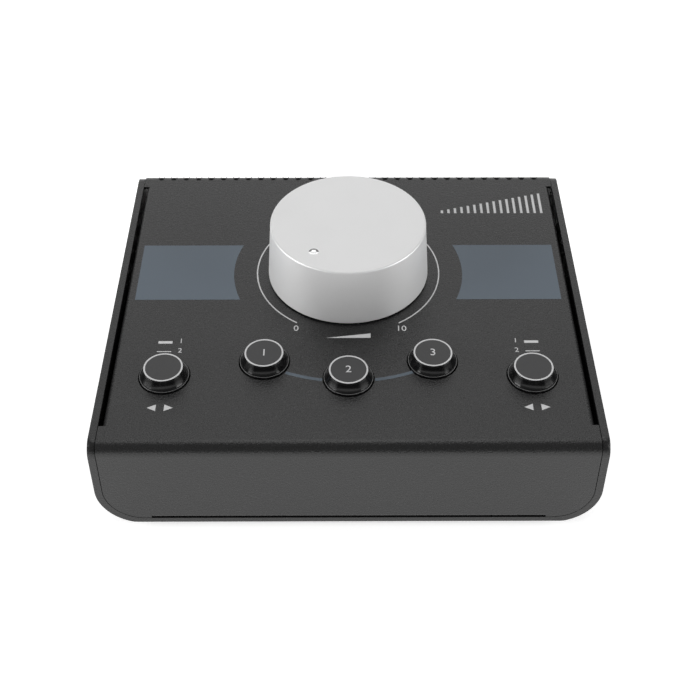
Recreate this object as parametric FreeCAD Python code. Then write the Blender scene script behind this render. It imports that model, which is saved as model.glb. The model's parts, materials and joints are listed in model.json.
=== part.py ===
import FreeCAD, Part
import math
import os

Vector = FreeCAD.Vector

# A studio monitor controller: a wedge of bent steel with a large volume knob and five push buttons.
# Lengths are millimetres and angles are degrees. X runs to the right, Y to the rear, Z up.
# The origin is under the middle of the whole object, where its feet stand.

# The case as a whole
case_width = 195.0
panel_length = 171.0
panel_slope = 6.0
front_height = 41.8
front_lean = 3.0

# Bottom tray, one thick plate bent into a U
tray_plate = 2.9
tray_corner_radius = 18.0
wall_front_radius = 5.8
wall_rear_radius = 6.1
wall_foot_radius = 1.0

# Top cover, one folded sheet
cover_sheet = 1.2
front_bend_inside = 3.6
rear_bend_inside = 3.8
flange_bend_inside = 0.6
seam = 0.25
seat_gap = 0.05
groove_start = 11.3
groove_rear_margin = 11.0
groove_width = 1.6
side_flange_depth = 10.0
return_flange_corner_gap = 2.5
return_flange_depth = 14.0
rear_lip_height = 14.0

# Vents along the rear bend
vent_count = 31
vent_end_inset = 7.6
vent_radius = 1.35
vent_bend_angle = 10.0

# Rear panel
rear_sheet = 1.5
rear_panel_drop = 7.0

# Feet
foot_height = 2.4
foot_radius = 7.0
foot_draft = 0.8
foot_inset_side = 24.0
foot_inset_front = 22.0
foot_inset_rear = 22.0

# Volume knob
knob_distance = 100.5
knob_base_gap = 0.75
knob_top = 26.5
knob_base_radius = 34.2
knob_top_radius = 32.3
knob_bevel = 0.8
knob_wall = 3.0
knob_roof = 3.0
dimple_distance = 23.6
dimple_angle = -126.0
dimple_radius = 2.0
dimple_depth = 0.6

# Knob hub
hub_flange_radius = 21.0
hub_flange_thickness = 2.5
hub_boss_radius = 8.0
hub_bottom = 7.0
shaft_grip_depth = 12.0
shaft_fit = 0.02

# Volume potentiometer
shaft_radius = 3.0
shaft_flat_depth = 1.5
shaft_running_gap = 0.05
bushing_radius = 4.5
bushing_top = 5.2
bushing_plate = 1.0
bushing_hole_gap = 0.2
washer_radius = 7.5
washer_thickness = 0.5
pot_nut_across_flats = 12.0
pot_nut_thickness = 2.2
pot_width = 17.0
pot_length = 19.0
rotor_radius = 6.5
rotor_thickness = 2.2
rotor_gap = 0.4

# Push buttons, placed by distance and angle about the knob, or by their own place
arc_button_distance = 64.3
arc_button_spread = 31.2
side_button_inset = 25.3
side_button_distance = 37.6
cap_top = 4.9
cap_top_radius = 7.75
cap_edge_chamfer = 0.35
cap_rim_radius = 9.8
cap_rim_height = 0.8
cap_rim_chamfer = 0.25
cap_waist_radius = 8.35
cap_waist_height = 2.7
cap_skirt_depth = 2.5
cap_wall = 1.3
cap_roof = 1.6
cap_boss_radius = 3.2
cap_hole_gap = 0.4
button_travel = 3.0

# Push switches
switch_width = 8.4
switch_height_over_travel = 9.0
switch_top_depth = 7.0
switch_wall = 1.0
plunger_width = 3.0
plunger_fit = 0.03
plunger_gap = 0.3
plunger_foot_width = 4.8
plunger_foot_height = 1.8
spring_radius = 2.0
spring_wire = 0.45
spring_gap = 0.1

# Circuit boards and what holds them
board_thickness = 1.6
board_side_gap = 6.6
control_board_front = 22.0
control_board_rear_gap = 41.0
socket_board_front = 40.0
board_edge_inset = 6.0
socket_board_rear_gap = 1.0
socket_standoff_inset = 16.0
standoff_across_flats = 5.5
screw_radius = 1.5
screw_hole_gap = 0.1
screw_head_radius = 2.75
screw_head_height = 1.7
board_screw_grip = 6.0

# Case screws
base_screw_side_inset = 35.5
base_screw_inset = 8.0
rear_screw_side_inset = 15.5
rear_screw_drop = 10.0
case_screw_grip = 1.5

# Sockets
socket_height = 27.0
socket_pitch = 19.0
socket_end_inset = 16.6
small_socket_end_inset = 10.6
small_socket_spacing = 17.0
socket_body_width = 15.6
socket_body_height = 14.0
socket_body_depth = 27.0
socket_nose_radius = 5.9
socket_nose_reach = 4.5
socket_bore_radius = 3.25
socket_bore_depth = 30.0
socket_hole_gap = 0.2
socket_nut_across_flats = 14.0
socket_nut_thickness = 2.4
small_socket_body_width = 8.0
small_socket_body_height = 13.5
small_socket_body_depth = 14.0
small_socket_nose_radius = 3.4
small_socket_nose_reach = 2.6
small_socket_bore_radius = 1.8
small_socket_bore_depth = 14.0
small_socket_nut_radius = 4.6
small_socket_nut_thickness = 1.4

# Ribbon cable and its headers
ribbon_width = 25.4
ribbon_thickness = 1.0
ribbon_side_inset = 40.0
ribbon_bend_radius = 6.0
header_width = 30.0
header_length = 9.0
header_height = 6.5
control_header_distance = 96.0
socket_header_inset = 7.0

# How many sides stand in for a circle on pieces that repeat or hide, and how far cuts run past a piece
cap_sides = 24
cap_hollow_sides = 12
cap_hole_sides = 24
vent_sides = 6
knob_sides = 80
screw_head_sides = 8
screw_sides = 6
foot_sides = 20
socket_sides = 16
pot_sides = 16
spring_sides = 8
dimple_sides = 12
dimple_rings = 2
cut_margin = 1.0

# Worked out from the sizes above
slope = math.radians(panel_slope)
lean = math.radians(front_lean)
case_depth = panel_length * math.cos(slope)
front_edge_height = foot_height + front_height
rear_edge_height = front_edge_height + panel_length * math.sin(slope)
groove_end = panel_length - groove_rear_margin
floor_top = foot_height + tray_plate
inner_half_width = case_width / 2 - tray_plate
cover_half_width = inner_half_width - seam
return_flange_half = case_width / 2 - tray_corner_radius - return_flange_corner_gap
board_half_width = inner_half_width - board_side_gap
control_board_rear = panel_length - control_board_rear_gap
ribbon_place = ribbon_side_inset - board_half_width
small_socket_place = inner_half_width - small_socket_end_inset
first_socket = socket_end_inset - inner_half_width
last_socket = small_socket_place - small_socket_spacing
switch_height = switch_height_over_travel + button_travel
switch_bottom = -(switch_top_depth + switch_height)
control_board_top = switch_bottom
control_board_bottom = control_board_top - board_thickness
socket_board_top = socket_height - socket_body_height / 2
socket_board_bottom = socket_board_top - board_thickness
rear_outer_face = case_depth - cover_sheet - seat_gap
rear_inner_face = rear_outer_face - rear_sheet
socket_mouth = rear_outer_face + socket_nose_reach
front_corner_angle = math.radians(90 + front_lean - panel_slope)
front_bend_outside = front_bend_inside + cover_sheet
front_bend_along = front_bend_outside / math.tan(front_corner_angle / 2)
front_most = (front_bend_along * math.cos(slope) + front_bend_outside * math.sin(slope)
              - front_bend_outside)
depth_middle = (front_most + socket_mouth) / 2

# General helpers


def corner_arc(before, corner, after, radius):
    """Start, middle and end of the tangent arc that rounds a corner."""
    into = (before - corner).normalize()
    away = (after - corner).normalize()
    half = math.acos(into.dot(away)) / 2
    reach = radius / math.tan(half)
    centre_way = (into + away).normalize()
    middle = corner + centre_way * (radius / math.sin(half) - radius)
    return corner + into * reach, middle, corner + away * reach


def outline_face(points, radii):
    """Closed flat face whose corners are rounded by the radius beside each point."""
    corners = []
    for index, corner in enumerate(points):
        following = points[(index + 1) % len(points)]
        if radii[index] > 0:
            corners.append(corner_arc(points[index - 1], corner, following, radii[index]))
        else:
            corners.append((corner, corner, corner))
    edges = []
    for index, (start, middle, end) in enumerate(corners):
        if radii[index] > 0:
            edges.append(Part.Arc(start, middle, end).toShape())
        edges.append(Part.makeLine(end, corners[(index + 1) % len(corners)][0]))
    return Part.Face(Part.Wire(edges))


def folded_sheet(run, radii, thickness, axis):
    """Section of a folded sheet from its outer corners, thickened to the axis's left of the run."""
    normals = [axis.cross(end - start).normalize() for start, end in zip(run, run[1:])]
    inner = [run[0] + normals[0] * thickness]
    for index in range(1, len(run) - 1):
        total = normals[index - 1] + normals[index]
        share = thickness / (1 + normals[index - 1].dot(normals[index]))
        inner.append(run[index] + total * share)
    inner.append(run[-1] + normals[-1] * thickness)
    inner_radii = [radius - thickness if radius > 0 else 0 for radius in radii]
    return outline_face(run + inner[::-1], radii + inner_radii[::-1])


def box(low_x, high_x, low_y, high_y, low_z, high_z):
    """Block between two corners."""
    size = Vector(high_x - low_x, high_y - low_y, high_z - low_z)
    return Part.makeBox(size.x, size.y, size.z, Vector(low_x, low_y, low_z))


def round_bar(x, y, low, high, radius):
    """Upright cylinder."""
    return Part.makeCylinder(radius, high - low, Vector(x, y, low))


def hexagon_bar(x, y, low, high, across_flats):
    """Upright hexagonal bar."""
    corner_radius = across_flats / math.sqrt(3)
    points = []
    for corner in range(6):
        turn = math.radians(60 * corner)
        points.append(Vector(x + corner_radius * math.cos(turn), y + corner_radius * math.sin(turn), low))
    return outline_face(points, [0] * 6).extrude(Vector(0, 0, high - low))


def sided_ring(x, y, level, radius, sides):
    """Corners of a level many-sided outline, its corners on a circle."""
    points = []
    for index in range(sides):
        turn = 2 * math.pi * index / sides
        points.append(Vector(x + radius * math.cos(turn), y + radius * math.sin(turn), level))
    return points


def sided_bar(x, y, low, high, radius, sides):
    """Upright many-sided bar that stays inside a circle."""
    return outline_face(sided_ring(x, y, low, radius, sides), [0] * sides).extrude(Vector(0, 0, high - low))


def sided_hole(x, y, low, high, radius, sides):
    """Upright many-sided cutter that leaves a whole circle free."""
    return sided_bar(x, y, low, high, radius / math.cos(math.pi / sides), sides)


def sided_turned(section, x, y, sides):
    """Many-sided form of a turned solid from (radius, height) points."""
    rings = [sided_ring(x, y, height, radius, sides) for radius, height in section]
    faces = []
    for index, upper in enumerate(rings):
        lower = rings[(index + 1) % len(rings)]
        radii = (section[index][0], section[(index + 1) % len(section)][0])
        if radii == (0, 0):
            continue
        for side in range(sides):
            after = (side + 1) % sides
            corners = [upper[side]]
            if radii[1] > 0:
                corners.append(lower[side])
            corners.append(lower[after])
            if radii[0] > 0:
                corners.append(upper[after])
            faces.append(Part.Face(Part.makePolygon(corners + corners[:1])))
    solid = Part.makeSolid(Part.makeShell(faces)).removeSplitter()
    return solid if solid.Volume > 0 else solid.reversed()


def to_panel(shape):
    """Place a shape drawn as (across, up the slope, out of the panel) on the sloping panel."""
    placed = shape.copy()
    placed.rotate(Vector(0, 0, 0), Vector(1, 0, 0), panel_slope)
    placed.translate(Vector(0, 0, front_edge_height))
    return placed


def rearward(shape, height):
    """Lay a shape drawn upright about Z = 0 along +Y at a height."""
    placed = shape.copy()
    placed.rotate(Vector(0, 0, 0), Vector(1, 0, 0), -90)
    placed.translate(Vector(0, 0, height))
    return placed


def screw_hole(x, y, low, high):
    """Cutter for a case or board screw through what lies between two levels."""
    return sided_hole(x, y, low - cut_margin, high + cut_margin, screw_radius + screw_hole_gap, screw_sides)


# Places that several pieces share


def button_places():
    """Place of each button on the panel, as (across, up the slope)."""
    places = {
        "source": (side_button_inset - case_width / 2, side_button_distance),
        "monitor": (case_width / 2 - side_button_inset, side_button_distance),
    }
    for name, side in (("mono", -1), ("mute", 0), ("dim", 1)):
        turn = math.radians(side * arc_button_spread)
        across = arc_button_distance * math.sin(turn)
        places[name] = (across, knob_distance - arc_button_distance * math.cos(turn))
    return places


def socket_places():
    """Place across the rear panel of each large socket."""
    names = []
    for use in ("monitor_b", "monitor_a", "source_b", "source_a"):
        names += [use + "_right", use + "_left"]
    group_count = len(names) // 2
    group_pitch = (last_socket - socket_pitch - first_socket) / (group_count - 1)
    places = {}
    for index, name in enumerate(names):
        places[name] = first_socket + (index // 2) * group_pitch + (index % 2) * socket_pitch
    return places


def control_standoff_places():
    """Places of the standoffs that hang the control board, on the panel."""
    half = board_half_width - board_edge_inset
    front = control_board_front + board_edge_inset
    rear = control_board_rear - board_edge_inset
    one_side = ((half, rear), (half, front), (half / 2, rear))
    return [(side * across, up) for side in (-1, 1) for across, up in one_side]


def socket_standoff_places():
    """Places of the standoffs under the socket board, on the floor."""
    front = rear_inner_face - socket_board_front + board_edge_inset
    reach = board_half_width - socket_standoff_inset
    return [(x, front) for x in (-reach, 0, reach)]


def base_screw_places():
    """Places of the screws through the floor into both return flanges."""
    apron_foot = (front_edge_height - floor_top) * math.tan(lean)
    rows = (apron_foot + base_screw_inset, rear_outer_face - base_screw_inset)
    reach = case_width / 2 - base_screw_side_inset
    return [(x, y) for y in rows for x in (-reach, 0, reach)]


# Case


def side_outline():
    """Solid with the side view of the tray's walls, as wide as the case."""
    points = [
        Vector(-case_width / 2, 0, front_edge_height),
        Vector(-case_width / 2, case_depth, rear_edge_height),
        Vector(-case_width / 2, case_depth, foot_height),
        Vector(-case_width / 2, front_height * math.tan(lean), foot_height),
    ]
    radii = [wall_front_radius, wall_rear_radius, wall_foot_radius, wall_foot_radius]
    return outline_face(points, radii).extrude(Vector(case_width, 0, 0))


def tray_section(inset):
    """Solid inside the tray's bent outline, drawn in by an inset and open at the top."""
    half = case_width / 2 - inset
    bottom = foot_height + inset
    above = rear_edge_height + tray_plate
    radius = tray_corner_radius - inset
    points = [Vector(-half, 0, above), Vector(half, 0, above), Vector(half, 0, bottom), Vector(-half, 0, bottom)]
    return outline_face(points, [0, 0, radius, radius]).extrude(Vector(0, case_depth, 0))


def bottom_tray():
    tray = side_outline().common(tray_section(0)).cut(tray_section(tray_plate))
    for x, y in base_screw_places():
        tray = tray.cut(screw_hole(x, y, foot_height, floor_top))
    return tray


def cover_run(with_flange):
    """Outer corners of the cover's section, from the front foot over the top to the rear lip."""
    foot_level = floor_top + seat_gap
    foot = Vector(0, (front_edge_height - foot_level) * math.tan(lean), foot_level)
    run = [
        foot,
        Vector(0, 0, front_edge_height),
        Vector(0, case_depth, rear_edge_height),
        Vector(0, case_depth, rear_edge_height - rear_lip_height),
    ]
    if with_flange:
        run.insert(0, foot + Vector(0, return_flange_depth, 0))
    return run


def cover_strip(with_flange, half_width):
    """The cover's folded section over a width."""
    rear_bend = rear_bend_inside + cover_sheet
    radii = [0, front_bend_outside, rear_bend, 0]
    if with_flange:
        radii.insert(1, flange_bend_inside + cover_sheet)
    section = folded_sheet(cover_run(with_flange), radii, cover_sheet, Vector(-1, 0, 0))
    section.translate(Vector(-half_width, 0, 0))
    return section.extrude(Vector(2 * half_width, 0, 0))


def side_flange():
    """Right side flange with its bend, drawn on the panel."""
    bend = flange_bend_inside + cover_sheet
    outer = inner_half_width - groove_width
    run = [
        Vector(outer - 2 * bend, groove_start, 0),
        Vector(outer, groove_start, 0),
        Vector(outer, groove_start, -side_flange_depth),
    ]
    section = folded_sheet(run, [0, bend, 0], cover_sheet, Vector(0, 1, 0))
    return section.extrude(Vector(0, groove_end - groove_start, 0))


def vent_cutter():
    """Round holes in a row at the start of the rear bend."""
    rear_bend = rear_bend_inside + cover_sheet
    bend_along = rear_bend / math.tan(math.radians(90 - panel_slope) / 2)
    turn = math.radians(vent_bend_angle)
    up = panel_length - bend_along + rear_bend * math.sin(turn)
    out = -rear_bend * (1 - math.cos(turn))
    reach = inner_half_width - vent_end_inset
    depth = cover_sheet + cut_margin
    holes = []
    for index in range(vent_count):
        across = reach * (2 * index / (vent_count - 1) - 1)
        hole = sided_bar(0, 0, -depth, depth, vent_radius, vent_sides)
        hole.rotate(Vector(0, 0, 0), Vector(1, 0, 0), -vent_bend_angle)
        hole.translate(Vector(across, up, out))
        holes.append(hole)
    return Part.makeCompound(holes)


def top_cover():
    flange_half = return_flange_half
    foot_clear = floor_top + 2 * (flange_bend_inside + cover_sheet)
    ears = cover_strip(False, cover_half_width)
    ears = ears.cut(box(-flange_half, flange_half, -cut_margin, case_depth / 2, 0, foot_clear))
    cover = ears.common(tray_section(tray_plate + seam)).fuse(cover_strip(True, flange_half))
    middle = inner_half_width - groove_width - (flange_bend_inside + cover_sheet)
    under = -cover_sheet - cut_margin
    notch = box(middle, case_width, groove_start, groove_end, under, cut_margin)
    flange = side_flange()
    for mirrored in (False, True):
        if mirrored:
            notch = notch.mirror(Vector(0, 0, 0), Vector(1, 0, 0))
            flange = flange.mirror(Vector(0, 0, 0), Vector(1, 0, 0))
        cover = cover.cut(to_panel(notch)).fuse(to_panel(flange))
    holes = [sided_hole(0, knob_distance, under, cut_margin, bushing_radius + bushing_hole_gap, pot_sides)]
    for across, up in button_places().values():
        holes.append(sided_hole(across, up, under, cut_margin, cap_rim_radius + cap_hole_gap, cap_hole_sides))
    cover = cover.cut(to_panel(Part.makeCompound(holes))).cut(to_panel(vent_cutter()))
    for x, y in base_screw_places()[:3]:
        cover = cover.cut(screw_hole(x, y, floor_top, floor_top + cover_sheet))
    return cover.cut(rear_screw_holes()).removeSplitter()


def rear_screw_place():
    """Distance of each rear screw from the middle."""
    return case_width / 2 - rear_screw_side_inset


def rear_screw_holes():
    """Holes for the screws through the cover's rear lip and the rear panel."""
    holes = []
    for side in (-1, 1):
        hole = screw_hole(side * rear_screw_place(), 0, rear_inner_face, case_depth)
        holes.append(rearward(hole, rear_edge_height - rear_screw_drop))
    return Part.makeCompound(holes)


def rear_panel():
    top = rear_edge_height - rear_panel_drop
    foot_level = floor_top + seat_gap
    bend = flange_bend_inside + rear_sheet
    flange_half = return_flange_half
    run = [
        Vector(0, rear_outer_face, top),
        Vector(0, rear_outer_face, foot_level),
        Vector(0, rear_outer_face - return_flange_depth, foot_level),
    ]
    folded = folded_sheet(run, [0, bend, 0], rear_sheet, Vector(-1, 0, 0))
    folded.translate(Vector(-flange_half, 0, 0))
    folded = folded.extrude(Vector(2 * flange_half, 0, 0))
    plate = box(-cover_half_width, cover_half_width, rear_inner_face, rear_outer_face, foot_level, top)
    plate = plate.cut(box(-flange_half, flange_half, 0, case_depth, 0, floor_top + 2 * bend))
    panel = plate.common(tray_section(tray_plate + seam)).fuse(folded)
    for x in socket_places().values():
        panel = panel.cut(panel_hole(x, socket_nose_radius + socket_hole_gap))
    panel = panel.cut(panel_hole(small_socket_place, small_socket_nose_radius + socket_hole_gap))
    for x, y in base_screw_places()[3:]:
        panel = panel.cut(screw_hole(x, y, floor_top, floor_top + rear_sheet))
    return panel.cut(rear_screw_holes()).removeSplitter()


def panel_hole(x, radius):
    """Cutter for a socket's hole in the rear panel."""
    hole = sided_hole(x, 0, rear_inner_face - cut_margin, rear_outer_face + cut_margin, radius, socket_sides)
    return rearward(hole, socket_height)


def screw(x, y, head_at, length):
    """Pan-head screw pointing up, its head under a level."""
    head = sided_bar(x, y, head_at - screw_head_height, head_at, screw_head_radius, screw_head_sides)
    return head.fuse(sided_bar(x, y, head_at, head_at + length, screw_radius, screw_sides))


def base_screws():
    length = tray_plate + rear_sheet + case_screw_grip
    return Part.makeCompound([screw(x, y, foot_height, length) for x, y in base_screw_places()])


def rear_screws():
    length = cover_sheet + rear_sheet + 2 * case_screw_grip
    screws = []
    for side in (-1, 1):
        body = screw(side * rear_screw_place(), 0, -case_depth, length)
        body.rotate(Vector(0, 0, 0), Vector(1, 0, 0), 90)
        body.translate(Vector(0, 0, rear_edge_height - rear_screw_drop))
        screws.append(body)
    return Part.makeCompound(screws)


def foot(side, at_rear):
    """Round rubber foot stuck under the floor."""
    x = side * (case_width / 2 - foot_inset_side)
    y = case_depth - foot_inset_rear if at_rear else foot_inset_front
    section = [(0, 0), (foot_radius - foot_draft, 0), (foot_radius, foot_height), (0, foot_height)]
    return sided_turned(section, x, y, foot_sides)


# Volume control


def volume_knob():
    """Hollow aluminium shell with draft, a bevelled rim and a dished pointer."""
    draft = (knob_base_radius - knob_top_radius) / (knob_top - knob_base_gap)
    roof = knob_top - knob_roof
    roof_radius = knob_top_radius + draft * knob_roof - knob_wall
    section = [
        (0, knob_top),
        (knob_top_radius - knob_bevel, knob_top),
        (knob_top_radius, knob_top - knob_bevel),
        (knob_base_radius, knob_base_gap),
        (roof_radius, knob_base_gap),
        (roof_radius, roof),
        (0, roof),
    ]
    return sided_turned(section, 0, knob_distance, knob_sides).cut(dimple())


def dimple():
    """Cutter for the shallow round dish that points to the level."""
    turn = math.radians(dimple_angle)
    ball_radius = (dimple_radius ** 2 + dimple_depth ** 2) / (2 * dimple_depth)
    section = [(0, knob_top - dimple_depth)]
    for ring in range(1, dimple_rings + 1):
        radius = dimple_radius * ring / dimple_rings
        rise = ball_radius - math.sqrt(ball_radius ** 2 - radius ** 2)
        section.append((radius, knob_top - dimple_depth + rise))
    section += [(dimple_radius, knob_top + cut_margin), (0, knob_top + cut_margin)]
    return sided_turned(section, dimple_distance * math.cos(turn),
                        knob_distance + dimple_distance * math.sin(turn), dimple_sides)


def shaft_bar(low, high, flat_from, radius):
    """Shaft with a flat on its rear side above a level."""
    bar = round_bar(0, knob_distance, low, high, radius)
    flat = box(-radius, radius, knob_distance + radius - shaft_flat_depth, knob_distance + 2 * radius,
               flat_from, high)
    return bar.cut(flat)


def knob_hub():
    roof = knob_top - knob_roof
    section = [
        (0, roof),
        (hub_flange_radius, roof),
        (hub_flange_radius, roof - hub_flange_thickness),
        (hub_boss_radius, roof - hub_flange_thickness),
        (hub_boss_radius, hub_bottom),
        (0, hub_bottom),
    ]
    bore_foot = hub_bottom - cut_margin
    bore = shaft_bar(bore_foot, hub_bottom + shaft_grip_depth, bore_foot, shaft_radius + shaft_fit)
    return sided_turned(section, 0, knob_distance, pot_sides).cut(bore)


def pot_hole(low, high, radius):
    """Cutter on the knob's axis through what lies between two levels."""
    return sided_hole(0, knob_distance, low - cut_margin, high + cut_margin, radius, pot_sides)


def rotor_levels():
    """Bottom and top of the potentiometer's rotor below the panel."""
    top = -cover_sheet - bushing_plate - rotor_gap
    return top - rotor_thickness, top


def pot_shaft():
    low = rotor_levels()[0]
    return shaft_bar(low, hub_bottom + shaft_grip_depth - rotor_gap, hub_bottom, shaft_radius)


def pot_rotor():
    low, high = rotor_levels()
    disc = sided_bar(0, knob_distance, low, high, rotor_radius, pot_sides)
    return disc.cut(pot_hole(low, high, shaft_radius + shaft_fit))


def pot_housing():
    top = -cover_sheet - bushing_plate
    body = box(-pot_width / 2, pot_width / 2, knob_distance - pot_length / 2, knob_distance + pot_length / 2,
               control_board_top, top)
    cavity_bottom = rotor_levels()[0] - rotor_gap
    return body.cut(sided_hole(0, knob_distance, cavity_bottom, top + cut_margin, rotor_radius + rotor_gap,
                               pot_sides))


def pot_bushing():
    """Front plate with the threaded neck that passes the cover."""
    plate = box(-pot_width / 2, pot_width / 2, knob_distance - pot_length / 2, knob_distance + pot_length / 2,
                -cover_sheet - bushing_plate, -cover_sheet)
    neck = sided_bar(0, knob_distance, -cover_sheet, bushing_top, bushing_radius, pot_sides)
    bore = round_bar(0, knob_distance, -cover_sheet - bushing_plate - cut_margin, bushing_top + cut_margin,
                     shaft_radius + shaft_running_gap)
    return plate.fuse(neck).cut(bore)


def pot_washer():
    ring = sided_bar(0, knob_distance, 0, washer_thickness, washer_radius, pot_sides)
    return ring.cut(pot_hole(0, washer_thickness, bushing_radius + shaft_fit))


def pot_nut():
    top = washer_thickness + pot_nut_thickness
    nut = hexagon_bar(0, knob_distance, washer_thickness, top, pot_nut_across_flats)
    return nut.cut(pot_hole(washer_thickness, top, bushing_radius + shaft_fit))


# Push buttons


def square_bar(place, width, low, high):
    """Upright square bar about a place on the panel."""
    half = width / 2
    return box(place[0] - half, place[0] + half, place[1] - half, place[1] + half, low, high)


def button_cap(place):
    """Hollow moulded cap whose gloss side flares down to a thin rim."""
    roof = cap_top - cap_roof
    outside = [
        (0, cap_top),
        (cap_top_radius - cap_edge_chamfer, cap_top),
        (cap_top_radius, cap_top - cap_edge_chamfer),
        (cap_waist_radius, cap_waist_height),
        (cap_rim_radius - cap_rim_chamfer, cap_rim_height),
        (cap_rim_radius, cap_rim_height - cap_rim_chamfer),
        (cap_rim_radius, -cap_skirt_depth),
        (0, -cap_skirt_depth),
    ]
    under = -cap_skirt_depth - cut_margin
    hollow = [
        (cap_rim_radius - cap_wall, under),
        (cap_rim_radius - cap_wall, 0),
        (cap_top_radius - cap_wall, 0),
        (cap_top_radius - cap_wall, roof),
        (cap_boss_radius, roof),
        (cap_boss_radius, under),
    ]
    cap = sided_turned(outside, place[0], place[1], cap_sides)
    cap = cap.cut(sided_turned(hollow, place[0], place[1], cap_hollow_sides))
    return cap.cut(square_bar(place, plunger_width + 2 * plunger_fit, under, plunger_top()))


def plunger_top():
    """Top of the plunger inside the cap's boss."""
    return cap_top - cap_roof


def plunger_foot_levels():
    """Bottom and top of the plunger's foot inside the switch."""
    top = -switch_top_depth - switch_wall - plunger_gap
    return top - plunger_foot_height, top


def switch_plunger(place):
    bottom, top = plunger_foot_levels()
    stem = square_bar(place, plunger_width, top, plunger_top() - plunger_fit)
    return stem.fuse(square_bar(place, plunger_foot_width, bottom, top))


def switch_housing(place):
    """Closed case of a latching push switch with the plunger's way through its top."""
    body = square_bar(place, switch_width, switch_bottom, -switch_top_depth)
    room = plunger_foot_width + 2 * plunger_gap
    cavity = square_bar(place, room, switch_bottom + switch_wall, -switch_top_depth - switch_wall)
    way = square_bar(place, plunger_width + 2 * plunger_gap, -switch_top_depth - switch_wall - cut_margin,
                     -switch_top_depth + cut_margin)
    return body.cut(cavity).cut(way)


def return_spring(place):
    """Closed outer form of the coil spring under the plunger's foot."""
    bottom = switch_bottom + switch_wall
    top = plunger_foot_levels()[0] - spring_gap
    outer = sided_bar(place[0], place[1], bottom, top, spring_radius, spring_sides)
    inner = sided_bar(place[0], place[1], bottom - cut_margin, top + cut_margin, spring_radius - spring_wire,
                      spring_sides)
    return outer.cut(inner)


# Boards


def control_board():
    board = box(-board_half_width, board_half_width, control_board_front, control_board_rear,
                control_board_bottom, control_board_top)
    for across, up in control_standoff_places():
        board = board.cut(screw_hole(across, up, control_board_bottom, control_board_top))
    return board


def socket_board():
    board = box(-board_half_width, board_half_width, rear_inner_face - socket_board_front,
                rear_inner_face - socket_board_rear_gap, socket_board_bottom, socket_board_top)
    for x, y in socket_standoff_places():
        board = board.cut(screw_hole(x, y, socket_board_bottom, socket_board_top))
    return board


def standoff(x, y, low, high, tapped_low, tapped_high):
    """Hexagonal standoff with a blind tapped hole for the board's screw."""
    post = hexagon_bar(x, y, low, high, standoff_across_flats)
    return post.cut(sided_hole(x, y, tapped_low, tapped_high, screw_radius + shaft_fit, screw_sides))


def control_standoffs():
    posts = []
    for x, y in control_standoff_places():
        posts.append(standoff(x, y, control_board_top, -cover_sheet, control_board_top,
                              control_board_top + board_screw_grip))
    return Part.makeCompound(posts)


def socket_standoffs():
    posts = []
    for x, y in socket_standoff_places():
        posts.append(standoff(x, y, floor_top, socket_board_bottom, socket_board_bottom - board_screw_grip,
                              socket_board_bottom))
    return Part.makeCompound(posts)


def control_board_screws():
    length = board_thickness + board_screw_grip - case_screw_grip
    return Part.makeCompound([screw(x, y, control_board_bottom, length) for x, y in control_standoff_places()])


def socket_board_screws():
    length = board_thickness + board_screw_grip - case_screw_grip
    screws = []
    for x, y in socket_standoff_places():
        body = screw(x, -y, -socket_board_top, length)
        body.rotate(Vector(0, 0, 0), Vector(1, 0, 0), 180)
        screws.append(body)
    return Part.makeCompound(screws)


# Sockets


def large_socket(x):
    """Moulded body with a threaded nose and the bore for a 6.35 mm plug."""
    half = socket_body_width / 2
    low = socket_height - socket_body_height / 2
    body = box(x - half, x + half, rear_inner_face - socket_body_depth, rear_inner_face,
               low, low + socket_body_height)
    nose = sided_bar(x, 0, rear_inner_face, socket_mouth, socket_nose_radius, socket_sides)
    nose = rearward(nose, socket_height)
    bore = round_bar(x, 0, socket_mouth - socket_bore_depth, socket_mouth + cut_margin, socket_bore_radius)
    bore = rearward(bore, socket_height)
    return body.fuse(nose).cut(bore)


def small_socket():
    """Moulded body with a short neck and the bore for a 3.5 mm plug."""
    x = small_socket_place
    half = small_socket_body_width / 2
    mouth = rear_outer_face + small_socket_nose_reach
    body = box(x - half, x + half, rear_inner_face - small_socket_body_depth, rear_inner_face,
               socket_board_top, socket_board_top + small_socket_body_height)
    nose = sided_bar(x, 0, rear_inner_face, mouth, small_socket_nose_radius, socket_sides)
    nose = rearward(nose, socket_height)
    bore = round_bar(x, 0, mouth - small_socket_bore_depth, mouth + cut_margin, small_socket_bore_radius)
    bore = rearward(bore, socket_height)
    return body.fuse(nose).cut(bore)


def socket_nuts():
    nuts = []
    for x in socket_places().values():
        top = rear_outer_face + socket_nut_thickness
        nut = hexagon_bar(x, 0, rear_outer_face, top, socket_nut_across_flats)
        nut = nut.cut(sided_hole(x, 0, rear_outer_face - cut_margin, top + cut_margin,
                                 socket_nose_radius + shaft_fit, socket_sides))
        nuts.append(rearward(nut, socket_height))
    return Part.makeCompound(nuts)


def small_socket_nut():
    top = rear_outer_face + small_socket_nut_thickness
    ring = sided_bar(small_socket_place, 0, rear_outer_face, top, small_socket_nut_radius, socket_sides)
    hole = sided_hole(small_socket_place, 0, rear_outer_face - cut_margin, top + cut_margin,
                      small_socket_nose_radius + shaft_fit, socket_sides)
    return rearward(ring.cut(hole), socket_height)


# Ribbon cable and headers


def control_header():
    """Header under the control board, facing rearward."""
    half = header_width / 2
    return box(ribbon_place - half, ribbon_place + half, control_header_distance,
               control_header_distance + header_length, control_board_bottom - header_height,
               control_board_bottom)


def socket_header_middle():
    """Place of the socket board's header from front to rear."""
    return rear_inner_face - socket_board_front + socket_header_inset


def socket_header():
    """Header on the socket board, facing up."""
    half = header_width / 2
    middle = socket_header_middle()
    return box(ribbon_place - half, ribbon_place + half, middle - header_length / 2,
               middle + header_length / 2, socket_board_top, socket_board_top + header_height)


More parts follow.
